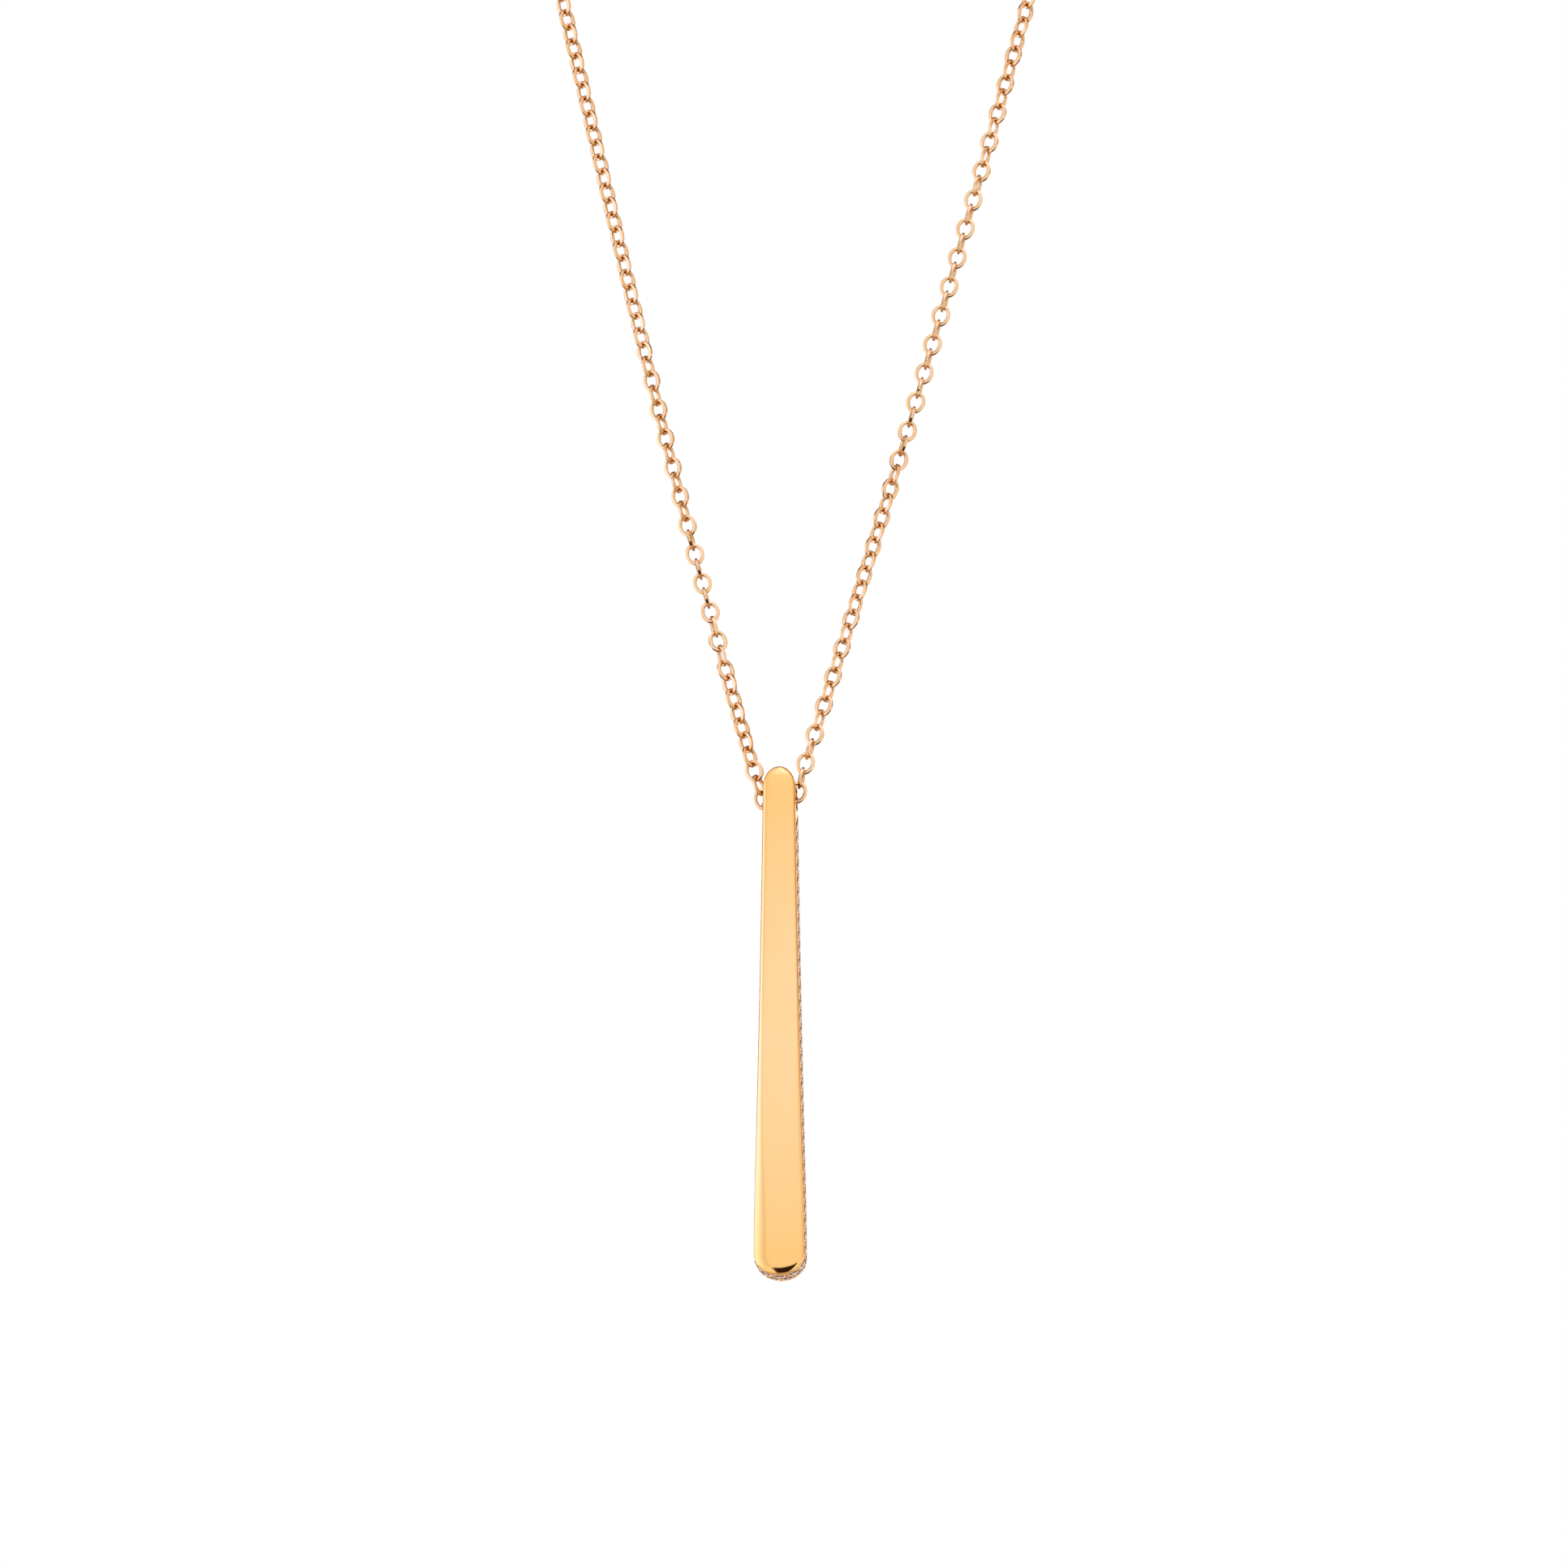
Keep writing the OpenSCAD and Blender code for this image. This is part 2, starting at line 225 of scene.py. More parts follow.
# %% Outline
BAR_LEN, BAR_D, HOLE_DROP, HOLE_R = 32.0, 2.4, 1.85, 0.8
TOP_W, ARCH_H, BOTTOM_W, END_H = 1.0, 1.3, 1.55, 1.28
ROLL_D, CROWN_H, BACK_EASE = 0.32, 0.06, 0.15
ARCH_ROLL_W, TOP_ROLL_W, BOTTOM_ROLL_W, END_ROLL_W = 0.7, 0.2, 0.95, 0.85
ARCH_Z, END_Z = HOLE_DROP - ARCH_H, HOLE_DROP - BAR_LEN + END_H
SIDE_LEN = ARCH_Z - END_Z
FLARE_START, FLARE_END = 0.7, 0.84
FLARE_GAIN = (1 - FLARE_START * (1 + FLARE_END) / 2) / FLARE_END


def flare_rate(t):
    """How fast the side flares a share t of the way down: faster and faster, then easing off to nothing."""
    last = FLARE_START + 2 * FLARE_GAIN * FLARE_END
    easing = last * (1 - t) / (1 - FLARE_END)
    return np.where(t < FLARE_END, FLARE_START + 2 * FLARE_GAIN * t, easing)


def stretches(u):
    """For u in 0..3: the angle round the arch, the share down the side, and the angle round the end."""
    return np.pi / 2 * np.clip(u, 0, 1), np.clip(u - 1, 0, 1), np.pi / 2 * np.clip(u - 2, 0, 1)


def by_stretch(u, arch, side, end):
    """Takes each point from the stretch that its u falls in: arch to 1, side to 2, end to 3."""
    return np.where((u <= 1)[..., None], arch, np.where((u <= 2)[..., None], side, end))


def edge(u):
    """Outline points for u in 0..3: a quarter ellipse, the flared side, and another quarter ellipse."""
    angle, t, end_angle = stretches(u)
    swelling = FLARE_START * t + FLARE_GAIN * t * t
    grown = np.where(t < FLARE_END, swelling, 1 - flare_rate(t) * (1 - t) / 2)
    arch = np.stack([TOP_W * np.sin(angle), ARCH_Z + ARCH_H * np.cos(angle)], -1)
    side = np.stack([TOP_W + (BOTTOM_W - TOP_W) * grown, ARCH_Z - SIDE_LEN * t], -1)
    end = np.stack([BOTTOM_W * np.cos(end_angle), END_Z - END_H * np.sin(end_angle)], -1)
    return by_stretch(u, arch, side, end)


def outward(u):
    """Unit direction out of the side wall, in the plane of the outline."""
    angle, t, end_angle = stretches(u)
    arch = np.stack([ARCH_H * np.sin(angle), TOP_W * np.cos(angle)], -1)
    side = np.stack([np.ones_like(t), (BOTTOM_W - TOP_W) * flare_rate(t) / SIDE_LEN], -1)
    end = np.stack([END_H * np.cos(end_angle), -BOTTOM_W * np.sin(end_angle)], -1)
    n = by_stretch(u, arch, side, end)
    return n / np.linalg.norm(n, axis=-1, keepdims=True)


TRACE_POINTS = 6001                            # points that measure the half outline
TRACE_U = np.linspace(3, 0, TRACE_POINTS)
TRACE_S = np.concatenate([[0], np.cumsum(np.linalg.norm(np.diff(edge(TRACE_U), axis=0), axis=1))])
HALF_LENGTH = TRACE_S[-1]


def length_at(z):
    """Length along the outline from the bottom middle up to height z on the side."""
    return float(np.interp(z, edge(TRACE_U)[:, 1], TRACE_S))


def wall_frame(s):
    """For signed lengths s: place on the outline, outward direction, and u. Minus is the left side."""
    u = np.interp(np.abs(s), TRACE_S, TRACE_U)
    flip = np.where(s < 0, -1.0, 1.0)[..., None] * np.array([1.0, 0.0]) + np.array([0.0, 1.0])
    return edge(u) * flip, outward(u) * flip, u


print("the outline is", round(2 * HALF_LENGTH, 2), "mm round")

# %% [markdown]
# ## Mesh helpers
# Surfaces are grids of points. Grids that meet share their border points, so joining them
# and merging the doubles closes the skin. Shading is smooth, with sharp edges by angle.

# %% Mesh helpers
def grid_faces(rows, columns, loop=False):
    """Quads of a grid whose points are numbered row by row; loop joins the last column to the first."""
    r, c = np.meshgrid(np.arange(rows - 1), np.arange(columns if loop else columns - 1), indexing="ij")
    d = (c + 1) % columns
    quads = np.stack([r * columns + c, r * columns + d, (r + 1) * columns + d, (r + 1) * columns + c], -1)
    return quads.reshape(-1, 4)


def repeated(faces, times, points):
    """The same faces for several equal batches of points."""
    return (faces[None] + (np.arange(times) * points)[:, None, None]).reshape(-1, 4)


def fan_faces(cells, around):
    """Triangles from each loop to its own middle point, as quads with a doubled corner."""
    i = np.arange(around)
    fan = np.stack([i, (i + 1) % around, np.full(around, around), np.full(around, around)], -1)
    return repeated(fan, cells, around + 1)


class Skin:
    """Collects grids of points and their faces, to be merged into one mesh."""

    def __init__(self):
        self.points, self.faces, self.tones, self.count = [], [], [], 0

    def add(self, points, faces, tone=0.0):
        """Adds points and faces; tone is a value for each point that a material can read, here painted shade.
        """
        points = points.reshape(-1, 3)
        self.points.append(points)
        self.tones.append(np.broadcast_to(np.asarray(tone, float).reshape(-1), (len(points),)))
        self.faces.append(faces + self.count)
        self.count += len(points)

    def build(self, name, body, material, weld=0.0, sharp=None):
        """Makes the object in metres, hung on its body, with its finish."""
        mesh = bpy.data.meshes.new(name)
        points = np.concatenate(self.points) * MM
        mesh.from_pydata(points.tolist(), [], np.concatenate(self.faces).tolist())
        # The tone attribute carries painted shade and painted dark reflection for the gold.
        tone = mesh.attributes.new("tone", "FLOAT", "POINT")
        tone.data.foreach_set("value", np.concatenate(self.tones).astype(np.float32))
        if weld:
            bm = bmesh.new()
            bm.from_mesh(mesh)
            bmesh.ops.remove_doubles(bm, verts=bm.verts, dist=weld * MM)
            bmesh.ops.dissolve_degenerate(bm, edges=bm.edges, dist=weld * MM)
            bmesh.ops.recalc_face_normals(bm, faces=bm.faces)
            bm.to_mesh(mesh)
            bm.free()
        mesh.polygons.foreach_set("use_smooth", np.ones(len(mesh.polygons), bool))
        if sharp:
            mesh.set_sharp_from_angle(angle=math.radians(sharp))
        mesh.materials.append(material)
        obj = bpy.data.objects.new(name, mesh)
        bpy.context.collection.objects.link(obj)
        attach(obj, body)
        print(name, len(mesh.vertices), "points", len(mesh.polygons), "faces")
        return obj


# %% [markdown]
# ## Finishes
# One group gives polished gold its unevenness: cloudy patches of a paler and a deeper tint,
# hairline scratches from wear, and faint smears that change the gloss. It reads the piece's
# own coordinates, so it stays on the piece from every side.

# %% Gold
SMEAR_GRAIN, SCRATCH_GRAIN = (900, 900, 260), (9000, 9000, 450)      # features in a metre, each way


def gold_wear_group():
    """Tint, roughness and surface normal of worn polished gold, from the piece's own coordinates."""
    tree, entry, exit_ = new_group(
        "gold_wear",
        [("Pale", COLOUR, (1, 0.69, 0.35, 1)), ("Deep", COLOUR, (1, 0.57, 0.2, 1)),
         ("Pale share", FLOAT, 0.5), ("Patch size", FLOAT, 0.004), ("Patches", FLOAT, 2.5),
         ("Roughness", FLOAT, 0.1), ("Smears", FLOAT, 0.05), ("Scratches", FLOAT, 0.1)],
        [("Colour", COLOUR, None), ("Roughness", FLOAT, None), ("Normal", VECTOR, None)])
    place_on = place(tree, "ShaderNodeTexCoord").outputs["Object"]
    patch_scale = math_node(tree, "DIVIDE", 1.0, entry.outputs["Patch size"])
    patches = place(tree, "ShaderNodeTexNoise", {
        "Vector": place_on, "Scale": patch_scale, "Detail": 2.0, "Roughness": 0.5})
    uneven = math_node(tree, "MULTIPLY", math_node(
        tree, "SUBTRACT", patches.outputs["Fac"], 0.5), entry.outputs["Patches"])
    colour = place(tree, "ShaderNodeMix", {
        0: math_node(tree, "ADD", uneven, entry.outputs["Pale share"]),
        6: entry.outputs["Deep"], 7: entry.outputs["Pale"]}, data_type="RGBA")
    smear_map = place(tree, "ShaderNodeMapping", {
        "Vector": place_on, "Rotation": (0, 0.5, 0), "Scale": SMEAR_GRAIN})
    smears = place(tree, "ShaderNodeTexNoise", {
        "Vector": smear_map.outputs[0], "Scale": 1.0, "Detail": 3.0, "Roughness": 0.6})
    gloss = math_node(tree, "MULTIPLY", math_node(
        tree, "SUBTRACT", smears.outputs["Fac"], 0.5), entry.outputs["Smears"])
    roughness = math_node(tree, "ADD", entry.outputs["Roughness"], gloss)
    scratch_map = place(tree, "ShaderNodeMapping", {
        "Vector": place_on, "Rotation": (0, -0.35, 0), "Scale": SCRATCH_GRAIN})
    lines = place(tree, "ShaderNodeTexNoise", {
        "Vector": scratch_map.outputs[0], "Scale": 1.0, "Detail": 2.0, "Roughness": 0.7})
    bump = place(tree, "ShaderNodeBump", {
        "Strength": entry.outputs["Scratches"], "Distance": 0.00002, "Height": lines.outputs["Fac"]})
    for name, value in (("Colour", colour.outputs[2]), ("Roughness", roughness),
                        ("Normal", bump.outputs["Normal"])):
        tree.links.new(value, exit_.inputs[name])
    return tree


GOLD_WEAR = gold_wear_group()


def new_material(name):
    """A material with a lone Principled shader; returns both."""
    material = bpy.data.materials.new(name)
    material.use_nodes = True
    tree = material.node_tree
    tree.nodes.clear()
    shader = place(tree, "ShaderNodeBsdfPrincipled")
    place(tree, "ShaderNodeOutputMaterial", {"Surface": shader.outputs[0]})
    return material, shader


def gold(name, pale, deep, patch, patches, roughness, smears, scratches, painted_shade_colour=(0.55, 0.25, 0.09)):
    """Polished gold. The tone attribute is painted shade: the higher it is, the nearer the colour is to the
    dark painted shade colour.
    """
    material, shader = new_material(name)
    tree = material.node_tree
    wear = use_group(tree, GOLD_WEAR, {
        "Pale": (*pale, 1), "Deep": (*deep, 1), "Patch size": patch, "Patches": patches,
        "Roughness": roughness, "Smears": smears, "Scratches": scratches})
    wear.name = "wear"
    tone = place(tree, "ShaderNodeAttribute", attribute_name="tone")
    # Painted shade: the tone attribute darkens the gold towards a brown shade colour in the seats and where
    # links meet.
    mixed = place(tree, "ShaderNodeMix", {
        0: tone.outputs["Fac"], 6: wear.outputs["Colour"], 7: (*painted_shade_colour, 1)}, data_type="RGBA")
    tree.links.new(mixed.outputs[2], shader.inputs["Base Color"])
    tree.links.new(wear.outputs["Roughness"], shader.inputs["Roughness"])
    tree.links.new(wear.outputs["Normal"], shader.inputs["Normal"])
    shader.inputs["Metallic"].default_value = 1.0
    return material


def painted_reflection_band(material, middle_z, reach):
    """Painted reflection: makes the gold palest at a height and deeper with the distance from it, to the
    power of 1.5, in place of the tent's reflection along the bar.
    """
    tree = material.node_tree
    height = place(tree, "ShaderNodeSeparateXYZ", {0: place(tree, "ShaderNodeTexCoord").outputs["Object"]})
    away = math_node(tree, "ABSOLUTE", math_node(tree, "SUBTRACT", height.outputs["Z"], middle_z))
    share = math_node(tree, "SUBTRACT", 1.0, math_node(
        tree, "POWER", math_node(tree, "DIVIDE", away, reach), 1.5))
    tree.links.new(share, tree.nodes["wear"].inputs["Pale share"])


# Painted reflection: the bar's gold is palest a little below its middle and deeper towards both ends.
PAINTED_REFLECTION_DEPTH, PAINTED_REFLECTION_REACH = 14.4, 14.9   # the palest place's depth below the hole, and the way on to deep gold
BAR_GOLD = gold("bar_gold", (1.0, 0.675, 0.345), (1.0, 0.595, 0.215), patch=0.004, patches=0.5,
                roughness=0.085, smears=0.05, scratches=0.06)
painted_reflection_band(BAR_GOLD, (HOLE[2] - PAINTED_REFLECTION_DEPTH) * MM, PAINTED_REFLECTION_REACH * MM)
BEAD_GOLD = gold("bead_gold", (1.0, 0.70, 0.46), (1.0, 0.60, 0.34), patch=0.002, patches=2.5,
                 roughness=0.16, smears=0.08, scratches=0.15)
CHAIN_GOLD = gold("chain_gold", (0.97, 0.68, 0.42), (0.91, 0.58, 0.3), patch=0.003, patches=2.5,
                  roughness=0.08, smears=0.08, scratches=0.1, painted_shade_colour=(0.4, 0.16, 0.04))
CLASP_GOLD = gold("clasp_gold", (1.0, 0.66, 0.33), (0.97, 0.56, 0.22), patch=0.003, patches=2.5,
                  roughness=0.12, smears=0.1, scratches=0.2)
print("golds", [m.name for m in (BAR_GOLD, BEAD_GOLD, CHAIN_GOLD, CLASP_GOLD)])

# %% [markdown]
# The stones are clear, so what they show is the gold of their seats and the tent, with a faint warm tint that
# paints the gold's reflection into them.

# %% Stone
def stone_material():
    """Clear stone with a faint warm tint, a painted reflection of the gold seats, varied at random: its
    sparkle is light bent inside and mirrored outside.
    """
    material, shader = new_material("clear_stone")
    tree = material.node_tree
    place_on = place(tree, "ShaderNodeTexCoord").outputs["Object"]
    cloud = place(tree, "ShaderNodeTexNoise", {"Vector": place_on, "Scale": 700.0, "Detail": 1.0})
    # Painted reflection: the warm tint stands in for the gold mirrored inside the stones; its unevenness is
    # random.
    tint = place(tree, "ShaderNodeMix", {
        0: cloud.outputs["Fac"], 6: (1.0, 0.9, 0.79, 1), 7: (1.0, 0.95, 0.88, 1)}, data_type="RGBA")
    tree.links.new(tint.outputs[2], shader.inputs["Base Color"])
    shader.inputs["Transmission Weight"].default_value = 1.0
    shader.inputs["IOR"].default_value = 2.1
    shader.inputs["Roughness"].default_value = 0.01
    return material


STONE = stone_material()
print("materials", [m.name for m in bpy.data.materials])

# %% [markdown]
# ## The front, the rolled edge and the back
# The front swells by a hair towards its midline. Its edge rolls over to the side wall in a
# quarter ellipse, narrow at the slim top and wide at the bottom end. The roll is added to the
# swell, so that the two run into each other without a crease. The back has a small eased
# edge. The columns run round the outline. On the side wall there are eight to each stone.

# %% Bar front and back
STONE_R, PITCH, ROW_GAP, SEAT_GAP, WEB = 0.37, 0.86, 0.8, 0.02, 0.06
GIRDLE = 0.06                                  # how deep the stones' girdles are set
CROWN_RINGS, ROLL_RINGS, EASE_RINGS = 8, 17, 6
STONE_COLUMNS, ARCH_COLUMNS, ROW_SAMPLES = 8, 30, 7
BACK_SHARES = (0.15, 0.6, 1.0)                 # rings of the flat back, from its edge to its midline
ROWS_Y = (ROLL_D - BACK_EASE) / 2
SEAT_R = STONE_R + SEAT_GAP
FIELD_TOP = -HOLE_R - WEB - SEAT_R             # height of the topmost stones
STEP = PITCH / STONE_COLUMNS
FRONT_Y = -BAR_D / 2
WALL_FRONT, WALL_BACK = -BAR_D / 2 + ROLL_D, BAR_D / 2 - BACK_EASE

hole_s = length_at(0)
hole_columns = [round((hole_s + side * (HOLE_R + WEB)) / STEP) for side in (-1, 1)]
above = np.linspace(hole_columns[1] * STEP, HALF_LENGTH, ARCH_COLUMNS)
right_s = np.concatenate([np.arange(hole_columns[1]) * STEP, above])
all_s = np.concatenate([-right_s[:0:-1], right_s])      # the arch's middle stands at both ends
place_xz, out_xz, all_u = wall_frame(all_s)


def roll_width(u):
    """Width of the rolled edge: wide over the arch, narrow at the slim top, and wide again at the bottom."""
    grown = (edge(np.clip(u, 1, 2))[..., 0] - TOP_W) / (BOTTOM_W - TOP_W)
    side = TOP_ROLL_W + (BOTTOM_ROLL_W - TOP_ROLL_W) * grown ** 4
    arch = np.cos(np.pi / 2 * np.clip(u, 0, 1)) ** 4
    end = np.sin(np.pi / 2 * np.clip(u - 2, 0, 1)) ** 2
    return side + (ARCH_ROLL_W - TOP_ROLL_W) * arch + (END_ROLL_W - BOTTOM_ROLL_W) * end


def ring(xz, y):
    """Points of one ring round the bar, from places in the plane of the outline and depths."""
    return np.stack([xz[:, 0], np.broadcast_to(y, len(xz)), xz[:, 1]], -1)


def bar_front():
    """Rings from the midline out: a parabola as the crown, and a quarter ellipse added to it as the roll."""
    width = roll_width(all_u)[:, None]
    spine = np.stack([np.zeros_like(all_u), np.clip(place_xz[:, 1], END_Z + END_ROLL_W, ARCH_Z)], -1)
    inner = place_xz - out_xz * width
    rest = np.linalg.norm(inner - spine, axis=1)
    width = width[:, 0]
    rings = []
    for q in np.linspace(1, 0, CROWN_RINGS + 1)[:-1]:
        share = (width + rest * q) / (width + rest)
        rings.append(ring(inner * (1 - q) + spine * q, FRONT_Y + CROWN_H * (1 - share) ** 2))
    for a in np.radians(np.linspace(90, 0, ROLL_RINGS)):
        inset = width * (1 - np.cos(a))
        fall = CROWN_H * (1 - inset / (width + rest)) ** 2 + (ROLL_D - CROWN_H) * (1 - np.sin(a))
        rings.append(ring(place_xz - out_xz * inset[:, None], FRONT_Y + fall))
    return np.array(rings)


def bar_back():
    """Rings from the side wall to the back: the eased edge, then flat to the midline."""
    spine = np.stack([np.zeros_like(all_u), np.clip(place_xz[:, 1], END_Z, ARCH_Z)], -1)
    rings = []
    for a in np.radians(np.linspace(0, 90, EASE_RINGS)):
        inset, fall = BACK_EASE * (1 - np.cos(a)), BACK_EASE * (1 - np.sin(a))
        rings.append(ring(place_xz - out_xz * inset, BAR_D / 2 - fall))
    inner = place_xz - out_xz * BACK_EASE
    for q in BACK_SHARES:
        rings.append(ring(inner * (1 - q) + spine * q, BAR_D / 2))
    return np.array(rings)


bar = Skin()
for rings in (bar_front(), bar_back()):
    bar.add(rings + HOLE, grid_faces(*rings.shape[:2]))
print("bar columns", len(all_s))

# %% [markdown]
# ## The drilled side walls
# The wall is unrolled into a strip that runs down one side, round the bottom end and up the
# other side. The stones stand on it in two rows, each row half a step ahead of the other.

# %% Wall layout
ROW_Y = {-1: ROWS_Y - ROW_GAP / 2, 1: ROWS_Y + ROW_GAP / 2}
BAND_MARGIN = 0.02
BAND = ROW_GAP / 2 + SEAT_R + BAND_MARGIN      # half of the width that the cells cover
LINE_W, LINE_D = 0.08, 0.035
y_front = np.array([WALL_FRONT, ROWS_Y - BAND - LINE_W, ROWS_Y - BAND - LINE_W / 2, ROWS_Y - BAND])
y_back = np.array([ROWS_Y + BAND, ROWS_Y + BAND + LINE_W / 2, ROWS_Y + BAND + LINE_W, WALL_BACK])
y_rows = {-1: np.linspace(ROWS_Y - BAND, ROWS_Y, ROW_SAMPLES),
          1: np.linspace(ROWS_Y, ROWS_Y + BAND, ROW_SAMPLES)}
y_all = np.concatenate([y_front, y_rows[-1][1:], y_rows[1][1:], y_back[1:]])

row_length = length_at(FIELD_TOP)
each_way = int(row_length / PITCH)
stones_s = {-1: np.arange(-each_way, each_way + 1) * PITCH}
half_steps = (np.arange(-each_way - 1, each_way + 1) + 0.5) * PITCH
stones_s[1] = half_steps[np.abs(half_steps) <= row_length]
FIELD_END = max(stones_s[-1][-1], stones_s[1][-1]) + PITCH / 2
print("stones in the rows", [len(places) for places in stones_s.values()])

# %% [markdown]
# Each stone takes one rectangle of the strip, and the rectangle's border shrinks in a few
# rings onto a round rim. Below the rim the seat is an upright lip and a cone, drilled straight
# along the stone's own axis.

# %% Seats
RIM_MARGIN = 0.012                             # the round rim is wider than the seat by this
SEAT_RADII = np.array([SEAT_R, SEAT_R, 0.22, 0.03])
SEAT_DEPTHS = np.array([0.02, GIRDLE + 0.05, GIRDLE + 0.22, GIRDLE + 0.38])
SEAT_SAG = np.array([1, 0.8, 0.3, 0])          # how far each ring follows the wall's curve
# Painted shade: the seats' lower rings are darkened towards the painted shade colour.
SEAT_PAINTED_SHADE = np.array([0, 0, 0, 0, 0.1, 0.2, 0.2])


def on_wall(s, y, depth=0.0):
    """Points at length s along the outline, at depth-axis place y, sunk into the metal by depth."""
    xz, out, _ = wall_frame(s)
    sunk = xz - out * np.asarray(depth)[..., None]
    return np.stack([sunk[..., 0], np.broadcast_to(y, s.shape), sunk[..., 1]], -1) + HOLE


def border(s_samples, y_samples):
    """Border points (s, y) of a rectangle as one closed loop."""
    s, y = np.asarray(s_samples), np.asarray(y_samples)
    return np.concatenate([
        np.stack([s[:-1], np.full(len(s) - 1, y[0])], -1),
        np.stack([np.full(len(y) - 1, s[-1]), y[:-1]], -1),
        np.stack([s[:0:-1], np.full(len(s) - 1, y[-1])], -1),
        np.stack([np.full(len(y) - 1, s[0]), y[:0:-1]], -1)])


def seats(row):
    """All seats of one row at once: rings from the rectangle's border to the rim, then down the seat."""
    rectangle = border(np.linspace(-PITCH / 2, PITCH / 2, STONE_COLUMNS + 1), y_rows[row] - ROW_Y[row])
    angle = np.arctan2(rectangle[:, 1], rectangle[:, 0])
    circle = np.stack([np.cos(angle), np.sin(angle)], -1)
    rim = circle * (SEAT_R + RIM_MARGIN)
    flat = np.array([rectangle, 0.5 * (rectangle + rim), rim])             # on the wall's surface
    centres = stones_s[row]
    s = centres[:, None, None] + flat[None, :, :, 0]
    surface = on_wall(s, ROW_Y[row] + flat[None, :, :, 1])
    xz, out, _ = wall_frame(centres)
    along = np.stack([-out[:, 1], out[:, 0]], -1)
    sag = np.einsum("kjd,kd->kj", (surface[:, 2][:, :, [0, 2]] - HOLE[[0, 2]]) - xz[:, None], -out)
    x = circle[None, None, :, 0] * SEAT_RADII[None, :, None]
    y = circle[None, None, :, 1] * SEAT_RADII[None, :, None]
    d = SEAT_DEPTHS[None, :, None] + sag[:, None, :] * SEAT_SAG[None, :, None]
    down = xz[:, None, None] + along[:, None, None] * x[..., None] - out[:, None, None] * d[..., None]
    seat = np.stack([down[..., 0], np.broadcast_to(ROW_Y[row] + y, d.shape), down[..., 1]], -1) + HOLE
    return np.concatenate([surface, seat], 1)


def add_seats(skin, row):
    """Adds a row's seats to the skin, with painted shade deeper inside, each closed with a small flat at its
    bottom.
    """
    points = seats(row)
    cells, rings, around = points.shape[:3]
    faces = repeated(grid_faces(rings, around, loop=True), cells, rings * around)
    skin.add(points, faces, np.broadcast_to(SEAT_PAINTED_SHADE[None, :, None], points.shape[:3]))
    tips = points[:, -1].mean(1)
    skin.add(np.concatenate([points[:, -1], tips[:, None]], 1), fan_faces(cells, around), SEAT_PAINTED_SHADE[-1])


def plain_wall(skin, columns, y_samples, depth_of=None):
    """A plain stretch of wall between columns, with the depth of the framing line where it is given."""
    s, y = np.meshgrid(columns, y_samples, indexing="ij")
    depth = np.zeros_like(s) if depth_of is None else depth_of(s, y)
    skin.add(on_wall(s, y, depth), grid_faces(*s.shape))


for row in (-1, 1):
    add_seats(bar, row)
    end = max(stones_s[row]) + PITCH / 2
    columns = np.arange(round(end / STEP), hole_columns[0] + 1) * STEP
    for sign in (-1, 1):
        plain_wall(bar, sign * columns, y_rows[row])
print("the bar has", bar.count, "points so far")

# %% [markdown]
# A fine bright-cut line frames the stones. The chain hole is made as the seats are, only
# bigger, and runs through to the other side. Then the grids are joined into one skin.

# %% Margins and chain hole
def line_depth(s, y):
    """The framing line is cut beside the stones only."""
    middle = np.isclose(y, y_front[2]) | np.isclose(y, y_back[1])
    return np.where(middle & (np.abs(s) < FIELD_END + STEP / 2), LINE_D, 0.0)


margin_s = np.arange(-hole_columns[0], hole_columns[0] + 1) * STEP
plain_wall(bar, margin_s, y_front, line_depth)
plain_wall(bar, margin_s, y_back, line_depth)
for sign in (-1, 1):
    plain_wall(bar, sign * above, y_all)


HOLE_EASE = 0.04                               # the eased edge of the chain hole
BORE_RINGS = 7


def hole_cell(sign):
    """The rectangle round the chain hole on one side: rings onto the rim, then a small eased edge."""
    columns = np.arange(hole_columns[0], hole_columns[1] + 1) * STEP
    rectangle = border(columns, y_all)
    angle = np.arctan2(rectangle[:, 1], rectangle[:, 0] - hole_s)
    circle = np.stack([np.cos(angle), np.sin(angle)], -1)
    rim = circle * (HOLE_R + HOLE_EASE) + [hole_s, 0]
    flat = np.array([rectangle, 0.5 * (rectangle + rim), rim])
    surface = on_wall(sign * flat[..., 0], flat[..., 1])
    inner = circle * HOLE_R + [hole_s, 0]
    eased = on_wall(sign * inner[:, 0], inner[:, 1], np.full(len(inner), HOLE_EASE))
    return np.concatenate([surface, eased[None]])


hole_sides = {sign: hole_cell(sign) for sign in (-1, 1)}
for sides in hole_sides.values():
    bar.add(sides, grid_faces(*sides.shape[:2], loop=True))
bore_share = np.linspace(0, 1, BORE_RINGS)[:, None, None]
bore = hole_sides[-1][-1] * (1 - bore_share) + hole_sides[1][-1] * bore_share
bar.add(bore, grid_faces(*bore.shape[:2], loop=True))
gold_bar = bar.build("gold_bar", "pendant", BAR_GOLD, weld=0.0015, sharp=32)
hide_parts("bar")

# %% [markdown]
# ## Beads
# The stones are held by small beads raised from the gold. One stands in each gap between
# three stones, and one between each two stones along the border of the band. A few more
# close the band's two ends.

# %% Beads
BEAD_R, BORDER_BEAD_R, END_BEAD_R = 0.155, 0.14, 0.12
BORDER_BEAD_OFF, END_BEAD_OFF = 0.25, 0.17     # from the row's middle, and from the band's middle
BEAD_SUNK, BEAD_TIP = 0.1, 0.98                # depth of a bead's middle; its tip, as a share of the radius
BEAD_RINGS = (-20, 12, 42, 68)                 # degrees up the ball


